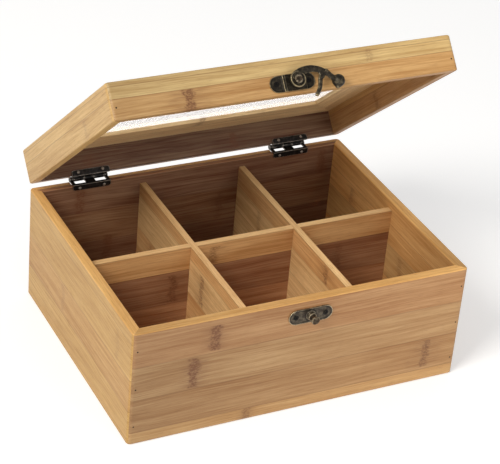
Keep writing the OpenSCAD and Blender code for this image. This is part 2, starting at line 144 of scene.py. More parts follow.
def buildCaneMark():
    tree, given, made = newGroup("caneMark", [
        ("Vector", "NodeSocketVector", None),
        ("Along", "NodeSocketFloat", 0.0),
        ("Across", "NodeSocketFloat", 0.0),
        ("Half Width", "NodeSocketFloat", 3.0),
        ("Half Height", "NodeSocketFloat", 10.0),
        ("Haze Length", "NodeSocketFloat", 12.0),
        ("Strength", "NodeSocketFloat", 1.0),
    ], [("Mask", "NodeSocketFloat")])
    get = given.outputs
    split = addNode(tree, "ShaderNodeSeparateXYZ", {0: get["Vector"]})
    wander = noiseOf(tree, scaled(tree, get["Vector"], 0.1, 0.3, 0.3), 3.0)
    wander = rangeOf(tree, wander, 0.3, 0.7, -1.6, 1.6)
    alongGap = mathOf(tree, "SUBTRACT", split.outputs["X"], get["Along"])
    alongGap = mathOf(tree, "ADD", alongGap, wander)
    alongGap = mathOf(tree, "ABSOLUTE", alongGap)
    acrossGap = mathOf(tree, "ABSOLUTE", mathOf(tree, "SUBTRACT", split.outputs["Y"], get["Across"]))
    inStrip = mathOf(tree, "DIVIDE", acrossGap, get["Half Height"])
    inStrip = rangeOf(tree, inStrip, 1.0, 0.86, smooth=True)
    column = mathOf(tree, "DIVIDE", alongGap, get["Half Width"])
    column = rangeOf(tree, column, 1.6, 0.4, smooth=True)
    speck = noiseOf(tree, scaled(tree, get["Vector"], 0.75, 1.25, 1.25), 2.0, 0.6)
    speck = rangeOf(tree, speck, 0.4, 0.6, 0.42, 1.0)
    streak = noiseOf(tree, scaled(tree, get["Vector"], 0.09, 0.9, 0.9), 2.0)
    streak = rangeOf(tree, streak, 0.38, 0.66, 0.1, 0.6)
    haze = mathOf(tree, "DIVIDE", alongGap, get["Haze Length"])
    haze = rangeOf(tree, haze, 1.0, 0.0, smooth=True)
    dots = mathOf(tree, "MULTIPLY", column, mathOf(tree, "MULTIPLY", speck, 1.2))
    tails = mathOf(tree, "MULTIPLY", haze, streak)
    mask = mathOf(tree, "MULTIPLY", mathOf(tree, "MAXIMUM", dots, tails), inStrip)
    mask = mathOf(tree, "MULTIPLY", mask, get["Strength"])
    tree.links.new(clamped(tree, mask), made.inputs["Mask"])
    return tree


# Long fibres, soft streaks and short pore dashes over the colour of each strip

def buildBambooGrain():
    tree, given, made = newGroup("bambooGrain", [
        ("Vector", "NodeSocketVector", None),
        ("Strip Color", "NodeSocketColor", (0.5, 0.35, 0.2, 1)),
        ("Strip Shade", "NodeSocketFloat", 0.5),
        ("Seam", "NodeSocketFloat", 0.0),
        ("Mark", "NodeSocketFloat", 0.0),
        ("Streaks", "NodeSocketFloat", 1.0),
        ("Drift", "NodeSocketFloat", 0.0),
        ("Seed", "NodeSocketFloat", 0.0),
    ], [("Color", "NodeSocketColor"), ("Roughness", "NodeSocketFloat"), ("Height", "NodeSocketFloat")])
    get = given.outputs
    shift = mathOf(tree, "MULTIPLY_ADD", get["Strip Shade"], 340.0, get["Seed"])
    offset = addNode(tree, "ShaderNodeCombineXYZ", {"X": shift, "Y": 0.0, "Z": get["Seed"]}).outputs[0]
    place = addNode(tree, "ShaderNodeVectorMath", {0: get["Vector"], 1: offset}, operation="ADD").outputs[0]
    sway = noiseOf(tree, scaled(tree, place, 0.012, 0.03, 0.03), 1.0)
    sway = rangeOf(tree, sway, 0.3, 0.7, -1.0, 1.0)
    swayed = addNode(tree, "ShaderNodeCombineXYZ", {"X": 0.0, "Y": sway, "Z": 0.0}).outputs[0]
    place = addNode(tree, "ShaderNodeVectorMath", {0: place, 1: swayed}, operation="ADD").outputs[0]
    fibre = noiseOf(tree, scaled(tree, place, 0.035, 1.3, 1.3), 3.0, 0.6)
    streak = noiseOf(tree, scaled(tree, place, 0.009, 0.36, 0.36), 2.0)
    cloud = noiseOf(tree, scaled(tree, place, 0.016, 0.06, 0.06), 2.0)
    pore = noiseOf(tree, scaled(tree, place, 0.14, 3.4, 3.4), 1.0)
    pore = rangeOf(tree, pore, 0.6, 0.74)
    lengthwise = addNode(tree, "ShaderNodeSeparateXYZ", {0: get["Vector"]}).outputs["X"]
    drift = mathOf(tree, "MULTIPLY_ADD", lengthwise, get["Drift"], 1.0)
    base = addNode(tree, "ShaderNodeVectorMath", {0: get["Strip Color"], "Scale": drift}, operation="SCALE")
    base = base.outputs[0]
    light = blendOf(tree, 1.0, base, srgb(255, 242, 216), "MULTIPLY")
    light = blendOf(tree, 0.14, light, srgb(248, 226, 182))
    deep = blendOf(tree, 1.0, base, srgb(218, 196, 168), "MULTIPLY")
    streakTone = rangeOf(tree, streak, 0.34, 0.68, -0.24, 0.24)
    cloudTone = rangeOf(tree, cloud, 0.32, 0.68, -0.2, 0.2)
    fibreTone = rangeOf(tree, fibre, 0.32, 0.68, -0.34, 0.34)
    tone = mathOf(tree, "ADD", mathOf(tree, "ADD", streakTone, cloudTone), fibreTone)
    tone = mathOf(tree, "MULTIPLY_ADD", tone, get["Streaks"], 0.5)
    color = blendOf(tree, clamped(tree, tone), deep, light)
    color = blendOf(tree, mathOf(tree, "MULTIPLY", pore, 0.32), color, srgb(112, 74, 46))
    color = blendOf(tree, mathOf(tree, "MULTIPLY", get["Mark"], 0.85), color, srgb(108, 66, 42))
    color = blendOf(tree, mathOf(tree, "MULTIPLY", get["Seam"], 0.5), color, srgb(96, 60, 38))
    tree.links.new(color, made.inputs["Color"])
    rough = mathOf(tree, "MULTIPLY_ADD", pore, 0.14, rangeOf(tree, fibre, 0.3, 0.7, 0.5, 0.4))
    tree.links.new(rough, made.inputs["Roughness"])
    height = mathOf(tree, "MULTIPLY_ADD", pore, -0.7, fibre)
    height = mathOf(tree, "MULTIPLY_ADD", get["Seam"], -0.8, height)
    height = mathOf(tree, "MULTIPLY_ADD", get["Mark"], -0.35, height)
    tree.links.new(height, made.inputs["Height"])
    return tree


caneMark = buildCaneMark()
bambooGrain = buildBambooGrain()

tones = {
    "edge": srgb(230, 187, 120),
    "cream": srgb(210, 181, 129),
    "straw": srgb(200, 165, 99),
    "amber": srgb(196, 157, 95),
    "gold": srgb(214, 168, 110),
    "wheat": srgb(218, 175, 125),
    "blond": srgb(232, 201, 156),
    # pale is the frame tone made lighter as painted light, for the lit undersides of the back and right frame
    # members
    "pale": srgb(246, 224, 186),
    "ivory": srgb(208, 186, 138),
    "sand": srgb(202, 166, 119),
    "fawn": srgb(181, 147, 109),
    "honey": srgb(196, 158, 106),
    "tan": srgb(187, 147, 102),
    "rose": srgb(180, 138, 99),
    "clay": srgb(175, 138, 98),
    "russet": srgb(186, 138, 108),
    "umber": srgb(156, 108, 82),
}
seamHalf = 0.32  # half the width of a glue line, in mm


def steppedRamp(tree, value, stops, colourOf):
    # A band for each strip, with no blend between neighbours
    ramp = addNode(tree, "ShaderNodeValToRGB", {0: value})
    ramp.color_ramp.interpolation = "CONSTANT"
    elements = ramp.color_ramp.elements
    elements.remove(elements[1])
    elements[0].position = 0.0
    for index, (position, stop) in enumerate(stops):
        element = elements[0] if index == 0 else elements.new(position)
        element.color = colourOf(index, stop)
    return ramp.outputs["Color"]


def bambooMaterial(name, along, across, origin, height, strips, marks=(), streaks=1.0, drift=0.0, seed=0.0,
                   inside=None):
    # strips: (start across the grain in mm, tone)
    # marks: (along, across, half width, half height, haze, strength)
    # inside: (depth in the board beyond which its inside face gets painted shade, tint of that painted shade)
    material, tree, shader = newMaterial(name)
    turn = Matrix((along, across, along.cross(across)))
    place = addNode(tree, "ShaderNodeMapping", {
        "Vector": addNode(tree, "ShaderNodeTexCoord").outputs["Object"],
        "Rotation": turn.to_euler(),
        "Location": -(turn @ origin),
    }).outputs[0]
    board = scaled(tree, place, 1000, 1000, 1000)
    split = addNode(tree, "ShaderNodeSeparateXYZ", {0: board})
    share = mathOf(tree, "DIVIDE", split.outputs["Y"], height)
    stops = [(start / height, tone) for start, tone in strips]
    stripColor = steppedRamp(tree, share, stops, lambda index, tone: tones[tone])
    if inside:
        depth, tint = inside
        # Past that depth the colour is multiplied by the tint: painted shade for the shadow the open lid
        # casts inside the box
        paintedShadeSide = mathOf(tree, "GREATER_THAN", split.outputs["Z"], depth)
        stripColor = blendOf(tree, paintedShadeSide, stripColor, tint, "MULTIPLY")
    shade = steppedRamp(tree, share, stops, lambda index, tone: (*[(index * 0.37 + 0.11) % 1.0] * 3, 1))
    seams = addNode(tree, "ShaderNodeValToRGB", {0: share})
    elements = seams.color_ramp.elements
    elements.remove(elements[1])
    elements[0].position = 0.0
    elements[0].color = (0, 0, 0, 1)
    for position, tone in stops[1:]:
        if tone == "edge":
            continue
        for step, value in ((-seamHalf, 0), (0, 1), (seamHalf, 0)):
            elements.new(position + step / height).color = (value, value, value, 1)
    mark = None
    for alongMark, acrossMark, halfWidth, halfHeight, haze, strength in marks:
        mask = addGroup(tree, caneMark, {
            "Vector": board, "Along": alongMark, "Across": acrossMark, "Half Width": halfWidth,
            "Half Height": halfHeight, "Haze Length": haze, "Strength": strength,
        })["Mask"]
        mark = mask if mark is None else mathOf(tree, "MAXIMUM", mark, mask)
    grain = addGroup(tree, bambooGrain, {
        "Vector": board, "Strip Color": stripColor, "Strip Shade": shade, "Seam": seams.outputs["Color"],
        "Mark": mark or 0.0, "Streaks": streaks, "Drift": drift, "Seed": seed,
    })
    joinSockets(tree, grain, shader.inputs, {"Color": "Base Color", "Roughness": "Roughness"})
    bump = addNode(tree, "ShaderNodeBump", {"Height": grain["Height"], "Strength": 0.35, "Distance": 0.00012})
    tree.links.new(bump.outputs["Normal"], shader.inputs["Normal"])
    shader.inputs["Specular IOR Level"].default_value = 0.35
    return material


def finishNode(name, material):
    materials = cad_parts[name].data.materials
    if not materials:
        materials.append(material)
    for slot in range(len(materials)):
        materials[slot] = material


# Wood of each board: the grain runs along, and the strips are counted across from the lower edge

bodyBoards = {
    "front_panel": dict(along=sideways, across=upwards, height=76,
                        strips=[(0, "sand"), (8, "clay"), (30.5, "fawn"), (53, "rose"), (75.3, "edge")],
                        marks=[(-57.0, 63.0, 3.2, 9.2, 12, 0.95), (-69.0, 41.8, 3.2, 11.0, 13, 1.0),
                               (85.5, 19.5, 2.6, 10.5, 16, 0.7), (-33.0, 4.0, 2.4, 4.5, 9, 0.6)],
                        streaks=0.8, drift=0.002, seed=3),
    "back_panel": dict(along=sideways, across=upwards, height=76,
                       strips=[(0, "tan"), (10, "rose"), (33, "honey"), (55.5, "rose"), (75.3, "edge")],
                       # inside face tinted darker: painted shade from the open lid
                       inside=(-80, srgb(168, 146, 162)),
                       marks=[(-76.5, 64.5, 3.0, 9.5, 14, 0.9), (93.0, 64.0, 3.0, 9.5, 14, 0.9),
                              (-57.0, 28.0, 2.6, 9.0, 12, 0.7), (20.0, 44.0, 2.4, 10.5, 12, 0.6)],
                       seed=41),
    "left_panel": dict(along=backwards, across=upwards, height=76,
                       strips=[(0, "straw"), (22.8, "amber"), (44.0, "straw"), (68.5, "straw"),
                               (75.3, "edge")],
                       marks=[(22.0, 34.0, 2.4, 10.0, 14, 0.25), (-62.0, 56.0, 2.4, 11.5, 12, 0.2)],
                       streaks=0.75, seed=77),
    "right_panel": dict(along=backwards, across=upwards, height=76,
                        strips=[(0, "gold"), (24, "honey"), (46.5, "gold"), (60.5, "gold"), (75.3, "edge")],
                        marks=[(-20.0, 35.0, 2.4, 10.5, 12, 0.4), (48.0, 53.0, 2.2, 6.5, 10, 0.4)],
                        streaks=0.85, drift=0.003, seed=119),
    "long_divider": dict(along=sideways, across=upwards, height=70.5,
                         strips=[(0, "russet"), (9.5, "russet"), (32, "umber"), (54.6, "wheat"),
                                 (69.9, "blond")],
                         marks=[(-47.0, 43.0, 2.8, 10.5, 18, 0.85), (-20.6, 61.5, 2.6, 6.5, 14, 0.6),
                                (66.0, 43.0, 2.6, 10.5, 16, 0.5)], seed=163),
    "left_cross_divider": dict(along=backwards, across=upwards, height=70.5,
                               strips=[(0, "wheat"), (17, "wheat"), (38.9, "blond"), (62, "wheat"),
                                       (69.9, "blond")],
                               marks=[(-20.0, 50.0, 3.0, 11.0, 20, 0.7), (55.0, 28.0, 2.6, 10.5, 14, 0.5)],
                               # drift darkens the board towards the back: painted shade from the open lid
                               drift=-0.003, seed=211),
    "right_cross_divider": dict(along=backwards, across=upwards, height=70.5,
                                strips=[(0, "wheat"), (17, "blond"), (39.7, "blond"), (56.5, "wheat"),
                                        (69.9, "blond")],
                                marks=[(-46.0, 63.0, 2.6, 6.5, 16, 0.7), (44.0, 48.0, 2.4, 8.0, 12, 0.4)],
                                # drift darkens the board towards the back: painted shade from the open lid
                                drift=-0.003, seed=251),
    "bottom_panel": dict(along=sideways, across=backwards, height=160, origin=(0, -0.08, 0),
                         strips=[(0, "tan"), (22, "rose"), (45, "umber"), (67.5, "tan"), (90, "rose"),
                                 (112.5, "tan"), (135, "umber")],
                         marks=[(-40.0, 56.0, 2.8, 10.5, 16, 0.7), (62.0, 101.0, 2.8, 10.5, 16, 0.7),
                                (10.0, 12.0, 2.8, 10.0, 14, 0.6)], seed=307),
}

lidBoards = {
    "lid_front_rail": dict(along=sideways, across=lidUp, height=21.5,
                           strips=[(0, "honey"), (11.6, "ivory"), (18.6, "ivory")],
                           marks=[(-61.8, 5.6, 3.6, 6.2, 20, 0.95), (52.0, 16.0, 2.4, 4.0, 10, 0.35)],
                           drift=0.0022, seed=353),
    "lid_back_rail": dict(along=sideways, across=lidUp, height=21.5,
                          strips=[(0, "tan"), (11.6, "rose"), (18.6, "honey")],
                          # inside face tinted darker: painted shade from the open lid
                          inside=(-80, srgb(134, 112, 126)),
                          marks=[(30.0, 6.0, 3.0, 5.6, 16, 0.8), (-70.0, 6.0, 3.0, 5.6, 16, 0.6)], seed=397),
    "lid_left_rail": dict(along=backwards, across=lidUp, height=21.5,
                          strips=[(0, "cream"), (12.0, "cream"), (18.6, "cream")],
                          marks=[(-38.0, 6.0, 2.4, 5.8, 12, 0.3)], streaks=0.8, seed=431),
    "lid_right_rail": dict(along=backwards, across=lidUp, height=21.5,
                           strips=[(0, "tan"), (12.0, "honey"), (18.6, "straw")],
                           marks=[(10.0, 6.0, 2.4, 5.8, 12, 0.5)], seed=467),
    "window_frame_front": dict(along=sideways, across=lidBack, height=170,
                               strips=[(0, "cream"), (22.5, "cream")],
                               marks=[(40.0, 12.0, 2.6, 9.5, 14, 0.5)], seed=503),
    # The back and right frame members take the pale tone: painted light on their undersides
    "window_frame_back": dict(along=sideways, across=lidBack, height=170,
                              strips=[(0, "pale"), (143.5, "pale")],
                              marks=[(-1.5, 134.0, 2.6, 8.5, 14, 0.6)], seed=541),
    "window_frame_left": dict(along=backwards, across=sideways, height=220,
                              strips=[(0, "cream"), (18.0, "cream")],
                              marks=[(20.0, 16.0, 2.6, 8.0, 14, 0.5)], seed=587),
    # pale tone here is painted light on the underside
    "window_frame_right": dict(along=backwards, across=sideways, height=220,
                               strips=[(0, "pale"), (201.5, "pale")],
                               marks=[(-20.5, 188.0, 2.4, 5.5, 10, 0.7)], seed=631),
}

for name, board in bodyBoards.items():
    settings = dict(board)
    origin = Vector(settings.pop("origin", (0, 0, 0)))
    finishNode(name, bambooMaterial(f"bamboo {name.replace('_', ' ')}", origin=origin, **settings))

for name, board in lidBoards.items():
    settings = dict(board)
    origin = lidCentre.copy()
    if settings["along"] is backwards:
        settings["along"] = lidBack
        if settings["across"] is sideways:
            origin = origin - 0.11 * sideways
    elif settings["across"] is lidBack:
        origin = origin - 0.085 * lidBack
    finishNode(name, bambooMaterial(f"bamboo {name.replace('_', ' ')}", origin=origin, **settings))
print("bamboo finishes on", len(bodyBoards) + len(lidBoards), "boards")

# Metal

def buildWornMetal():
    # Dark patina that rubs through to bright metal on ridges, where the bright metal is also a painted
    # highlight, and stays darker in hollows
    tree, given, made = newGroup("wornMetal", [
        ("Vector", "NodeSocketVector", None),
        ("Ridge", "NodeSocketFloat", 0.0),
        ("Patina", "NodeSocketColor", srgb(52, 46, 38)),
        ("Bare And Sheen", "NodeSocketColor", srgb(168, 150, 116)),
        ("Wear And Sheen", "NodeSocketFloat", 0.5),
        ("Haze", "NodeSocketFloat", 0.15),
        ("Grit", "NodeSocketFloat", 1.0),
    ], [("Color", "NodeSocketColor"), ("Metallic", "NodeSocketFloat"), ("Roughness", "NodeSocketFloat"),
        ("Height", "NodeSocketFloat")])
    get = given.outputs
    place = scaled(tree, get["Vector"], 1000, 1000, 1000)
    coarse = noiseOf(tree, scaled(tree, place, 0.55, 0.55, 0.55), 3.0, 0.6)
    fine = noiseOf(tree, scaled(tree, place, 3.2, 3.2, 3.2), 2.0, 0.6)
    # Ridges get the bright colour: partly worn metal, partly a painted highlight along edges and rims
    rubAndSheen = mathOf(tree, "ADD", rangeOf(tree, coarse, 0.35, 0.65, -0.14, 0.14), get["Ridge"])
    rubAndSheen = rangeOf(tree, rubAndSheen, 0.2, 0.85, smooth=True)
    rubAndSheen = mathOf(tree, "MULTIPLY", rubAndSheen, get["Wear And Sheen"])
    haze = mathOf(tree, "MULTIPLY", rangeOf(tree, coarse, 0.42, 0.72), get["Haze"])
    rubAndSheen = clamped(tree, mathOf(tree, "ADD", rubAndSheen, haze))
    color = blendOf(tree, rubAndSheen, get["Patina"], get["Bare And Sheen"])
    hollow = rangeOf(tree, get["Ridge"], 0.0, -0.6, 0.0, 0.8)
    color = blendOf(tree, hollow, color, srgb(16, 14, 13))
    color = blendOf(tree, rangeOf(tree, fine, 0.5, 0.72, 0.0, 0.3), color, srgb(26, 23, 20))
    tree.links.new(color, made.inputs["Color"])
    tree.links.new(rangeOf(tree, rubAndSheen, 0.0, 1.0, 0.75, 1.0), made.inputs["Metallic"])
    polish = rangeOf(tree, rubAndSheen, 0.0, 1.0, 0.48, 0.3)
    grain = rangeOf(tree, fine, 0.4, 0.7, -0.05, 0.1)
    tree.links.new(mathOf(tree, "ADD", polish, grain), made.inputs["Roughness"])
    tree.links.new(mathOf(tree, "MULTIPLY", fine, get["Grit"]), made.inputs["Height"])
    return tree


wornMetal = buildWornMetal()


def metalMaterial(name, patina, bareAndSheen, wearAndSheen=0.5, haze=0.15, grit=1.0, bump=0.3):
    material, tree, shader = newMaterial(name)
    worn = addGroup(tree, wornMetal, {
        "Vector": addNode(tree, "ShaderNodeTexCoord").outputs["Object"],
        "Ridge": addNode(tree, "ShaderNodeAttribute", attribute_name="ridge").outputs["Fac"],
        "Patina": patina, "Bare And Sheen": bareAndSheen, "Wear And Sheen": wearAndSheen, "Haze": haze, "Grit": grit,
    })
    joinSockets(tree, worn, shader.inputs, {
        "Color": "Base Color", "Metallic": "Metallic", "Roughness": "Roughness",
    })
    relief = addNode(tree, "ShaderNodeBump", {"Height": worn["Height"], "Strength": bump, "Distance": 0.0001})
    tree.links.new(relief.outputs["Normal"], shader.inputs["Normal"])
    return material


# The bright colours on ridges are partly worn metal and partly painted highlight along edges and rims, the
# hinge's too
antiqueBronze = metalMaterial("antique bronze", srgb(44, 39, 32), srgb(172, 156, 122), wearAndSheen=0.75, haze=0.16)
pegBrass = metalMaterial("rubbed brass", srgb(62, 48, 34), srgb(232, 214, 180), wearAndSheen=0.85, haze=0.1,
                         bump=0.15)
catchBronze = metalMaterial("rubbed bronze", srgb(66, 58, 50), srgb(196, 182, 152), wearAndSheen=0.9, haze=0.24)
blackHinge = metalMaterial("blackened steel", srgb(26, 24, 24), srgb(168, 160, 150), wearAndSheen=0.6, haze=0.08,
                           grit=0.5, bump=0.15)
nailSteel = metalMaterial("nail steel", srgb(150, 142, 132), srgb(214, 206, 196), haze=0.5, bump=0.15)
darkNail = metalMaterial("dark brad", srgb(66, 48, 36), srgb(110, 90, 70), haze=0.2, bump=0.15)
# Screw heads are near black, as dark as the recesses around them
darkScrew = metalMaterial("near-black screw", srgb(24, 21, 19), srgb(90, 82, 68), haze=0.12)

fasteners = {
    nailSteel: ("left_hinge_pin", "right_hinge_pin", "hinge_body_nails", "hinge_lid_nails"),
    darkNail: ("body_brads", "lid_brads"),
    darkScrew: ("catch_screws", "latch_screws"),
}
for material, names in fasteners.items():
    for name in names:
        finishNode(name, material)
print("metal finishes on", sum(len(names) for names in fasteners.values()), "fastener nodes")

# Modelling helpers, in a piece's own millimetres: x right and y up in its face, z out of it

def clearSelection():
    if bpy.context.mode != "OBJECT":
        bpy.ops.object.mode_set(mode="OBJECT")
    bpy.ops.object.select_all(action="DESELECT")


def leaveEdit():
    bpy.ops.mesh.select_all(action="SELECT")
    bpy.ops.mesh.normals_make_consistent(inside=False)
    bpy.ops.object.mode_set(mode="OBJECT")
    return bpy.context.object


def turnedPart(profile, sides=64):
    # Drawn up from a disc through (height, radius) stations
    clearSelection()
    height, radius = profile[0]
    bpy.ops.mesh.primitive_circle_add(vertices=sides, radius=radius / 1000, fill_type="NGON",
                                      location=mm(0, 0, height))
    bpy.ops.object.mode_set(mode="EDIT")
    bpy.ops.mesh.select_all(action="SELECT")
    for nextHeight, nextRadius in profile[1:]:
        bpy.ops.mesh.extrude_region_move(TRANSFORM_OT_translate={"value": mm(0, 0, nextHeight - height)})
        share = nextRadius / radius
        bpy.ops.transform.resize(value=(share, share, 1), center_override=mm(0, 0, nextHeight))
        height, radius = nextHeight, nextRadius
    return leaveEdit()


def sweptPart(stations, z, sides=20):
    # A bar along a bent line: its section turns and changes size at each (x, y, width, thickness)
    clearSelection()
    points = [Vector((x, y)) for x, y, width, thickness in stations]
    headings = []
    for index in range(len(points)):
        before = points[max(index - 1, 0)]
        after = points[min(index + 1, len(points) - 1)]
        headings.append(math.atan2(after.y - before.y, after.x - before.x))
    x, y, width, thickness = stations[0]
    bpy.ops.mesh.primitive_circle_add(vertices=sides, radius=0.0005, fill_type="NGON",  # 1 mm across
                                      location=mm(x, y, z),
                                      rotation=(math.pi / 2, 0, headings[0] + math.pi / 2))
    bpy.ops.object.mode_set(mode="EDIT")
    bpy.ops.mesh.select_all(action="SELECT")
    bpy.ops.transform.resize(value=(width, width, thickness), center_override=mm(x, y, z))
    for index in range(1, len(stations)):
        nextX, nextY, nextWidth, nextThickness = stations[index]
        centre = mm(nextX, nextY, z)
        bpy.ops.mesh.extrude_region_move(TRANSFORM_OT_translate={"value": mm(nextX - x, nextY - y, 0)})
        turn = (headings[index] - headings[index - 1] + math.pi) % (2 * math.pi) - math.pi
        bpy.ops.transform.rotate(value=-turn, orient_axis="Z", center_override=centre)
        bpy.ops.transform.resize(value=(nextWidth / width, nextWidth / width, nextThickness / thickness),
                                 center_override=centre)
        x, y, width, thickness = stations[index]
    return leaveEdit()


def moveTop(part, test, inset=0.0, depth=0.0, raised=0.0):
    # Insets or lifts the faces that look outwards and whose middle passes the test on its x
    bpy.ops.object.mode_set(mode="EDIT")
    bpy.ops.mesh.select_mode(type="FACE")
    bpy.ops.mesh.select_all(action="DESELECT")
    bpy.ops.object.mode_set(mode="OBJECT")
    for face in part.data.polygons:
        face.select = face.normal.z > 0.9 and test(face.center.x * 1000)
    bpy.ops.object.mode_set(mode="EDIT")
    if raised:
        bpy.ops.mesh.extrude_region_move(TRANSFORM_OT_translate={"value": mm(0, 0, raised)})
    if inset:
        bpy.ops.mesh.inset(thickness=inset / 1000, depth=depth / 1000)
    bpy.ops.object.mode_set(mode="OBJECT")


def obroundPlate(length, height, thickness, cuts=()):
    # A round disc whose halves are drawn apart, raised to a plate and cut across at each x
    clearSelection()
    sides = 64
    bpy.ops.mesh.primitive_circle_add(vertices=sides, radius=height / 2000, fill_type="NGON",
                                      rotation=(0, 0, math.pi / sides))
    bpy.ops.object.transform_apply(location=True, rotation=True, scale=True)
    part = bpy.context.object
    for side in (-1, 1):
        bpy.ops.object.mode_set(mode="EDIT")
        bpy.ops.mesh.select_mode(type="VERT")
        bpy.ops.mesh.select_all(action="DESELECT")
        bpy.ops.object.mode_set(mode="OBJECT")
        for vertex in part.data.vertices:
            vertex.select = vertex.co.x * side > 0
        bpy.ops.object.mode_set(mode="EDIT")
        bpy.ops.transform.translate(value=mm(side * (length - height) / 2, 0, 0))
        bpy.ops.object.mode_set(mode="OBJECT")
    bpy.ops.object.mode_set(mode="EDIT")
    bpy.ops.mesh.select_all(action="SELECT")
    bpy.ops.mesh.extrude_region_move(TRANSFORM_OT_translate={"value": mm(0, 0, thickness)})
    for cut in cuts:
        bpy.ops.mesh.select_all(action="SELECT")
        bpy.ops.mesh.bisect(plane_co=mm(cut, 0, 0), plane_no=(1, 0, 0))
    return leaveEdit()


def applied(part, kind, **settings):
    clearSelection()
    part.select_set(True)
    bpy.context.view_layer.objects.active = part
    modifier = part.modifiers.new(kind.lower(), kind)
    for key, value in settings.items():
        setattr(modifier, key, value)
    bpy.ops.object.modifier_apply(modifier=modifier.name)


def joined(parts):
    clearSelection()
    for part in parts:
        part.select_set(True)
    bpy.context.view_layer.objects.active = parts[0]
    bpy.ops.object.transform_apply(location=True, rotation=True, scale=True)
    if len(parts) > 1:
        bpy.ops.object.join()
    return bpy.context.object


def settle(part, name, origin, xAxis, yAxis, zAxis, material, body, replaced, slot):
    # Puts a finished piece in its place in the frame, with that place in its mesh
    clearSelection()
    part.select_set(True)
    bpy.context.view_layer.objects.active = part
    part.name = name
    part.matrix_world = Matrix.Translation(origin) @ Matrix((xAxis, yAxis, zAxis)).transposed().to_4x4()
    bpy.ops.object.transform_apply(location=True, rotation=True, scale=True)
    part.data.materials.clear()
    part.data.materials.append(material)
    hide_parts(*replaced)
    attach(part, body)
    return part


def storeRidges(part, reach):
    # How far each point stands out of the same skin smoothed more, in units of reach millimetres
    points = np.empty(len(part.data.vertices) * 3)
    part.data.vertices.foreach_get("co", points)
    normals = np.empty_like(points)
    part.data.vertices.foreach_get("normal", normals)
    ends = np.empty(len(part.data.edges) * 2, dtype=np.int64)
    part.data.edges.foreach_get("vertices", ends)
    first, second = ends.reshape(-1, 2).T
    points = points.reshape(-1, 3)
    count = np.bincount(ends, minlength=len(points))[:, None]
    blurred = points
    for step in range(40):
        total = np.stack([
            np.bincount(first, blurred[second, axis], len(points))
            + np.bincount(second, blurred[first, axis], len(points))
            for axis in range(3)
        ], axis=1)
        blurred = 0.4 * blurred + 0.6 * total / count
    proud = ((points - blurred) * normals.reshape(-1, 3)).sum(axis=1) * 1000 / reach
    ridge = part.data.attributes.new("ridge", "FLOAT", "POINT")
    ridge.data.foreach_set("value", np.clip(proud, -1, 1))


def castPiece(parts, voxel=0.14, rounds=4, reach=0.16):
    # Parts fused into one skin, with soft cast edges and fillets
    part = joined(parts)
    applied(part, "REMESH", mode="VOXEL", voxel_size=voxel / 1000)
    applied(part, "SMOOTH", factor=0.5, iterations=rounds)
    bpy.ops.object.shade_smooth()
    storeRidges(part, reach)
    return part


def onArc(centreX, centreY, radius, degrees):
    angle = math.radians(degrees)
    return centreX + radius * math.cos(angle), centreY + radius * math.sin(angle)


# Hook latch on the lid

latch = dict(pivotX=2.6, pivotHeight=7.2, plateShift=-1.8, plateDrop=-0.6, length=28.0, height=9.6,
             thickness=0.9, ridge=(-5.9, -4.4), ridgeHeight=1.5, raisedEnd=8.0, raisedHeight=1.7,
             rim=0.85, rimDepth=0.42, raisedRim=0.5, raisedRimDepth=0.2,
             rivet=[(0.05, 1.5), (1.6, 1.5), (1.7, 2.3), (1.9, 2.4), (3.5, 2.4), (3.6, 1.5), (5.7, 1.5),
                    (5.76, 2.3), (6.0, 2.42), (6.4, 2.35), (6.66, 1.95), (6.68, 1.6), (6.5, 1.2), (6.2, 0.7),
                    (6.1, 0.3)])
latchAxes = (sideways, lidUp, -lidBack)
pivotX, pivotHeight = mm(latch["pivotX"], latch["pivotHeight"])
latchOrigin = lidCentre + pivotX * sideways + pivotHeight * lidUp - boxDepth / 2 * lidBack

ridgeFrom, ridgeTo = latch["ridge"]
raisedEnd = latch["raisedEnd"]
plate = obroundPlate(latch["length"], latch["height"], latch["thickness"], (ridgeFrom, ridgeTo, raisedEnd))
moveTop(plate, lambda x: ridgeFrom < x < ridgeTo, raised=latch["ridgeHeight"] - latch["thickness"])
moveTop(plate, lambda x: ridgeTo < x < raisedEnd, raised=latch["raisedHeight"] - latch["thickness"])
moveTop(plate, lambda x: x < ridgeFrom, inset=latch["rim"], depth=-latch["rimDepth"])
moveTop(plate, lambda x: x > raisedEnd, inset=latch["rim"], depth=-latch["rimDepth"])
moveTop(plate, lambda x: ridgeTo < x < raisedEnd, inset=latch["raisedRim"], depth=-latch["raisedRimDepth"])
plate = castPiece([plate], rounds=3)
plateShift, plateDrop = mm(latch["plateShift"], latch["plateDrop"])
plateOrigin = latchOrigin + plateShift * sideways + plateDrop * lidUp
settle(plate, "latch_plate_cast", plateOrigin, *latchAxes, antiqueBronze, "lid", ["latch_plate"],
       "antique_bronze")

rivet = turnedPart(latch["rivet"])
rivet = castPiece([rivet], voxel=0.1, rounds=2)
settle(rivet, "latch_rivet_turned", latchOrigin, *latchAxes, pegBrass, "lid", ["latch_rivet"],
       "antique_bronze")

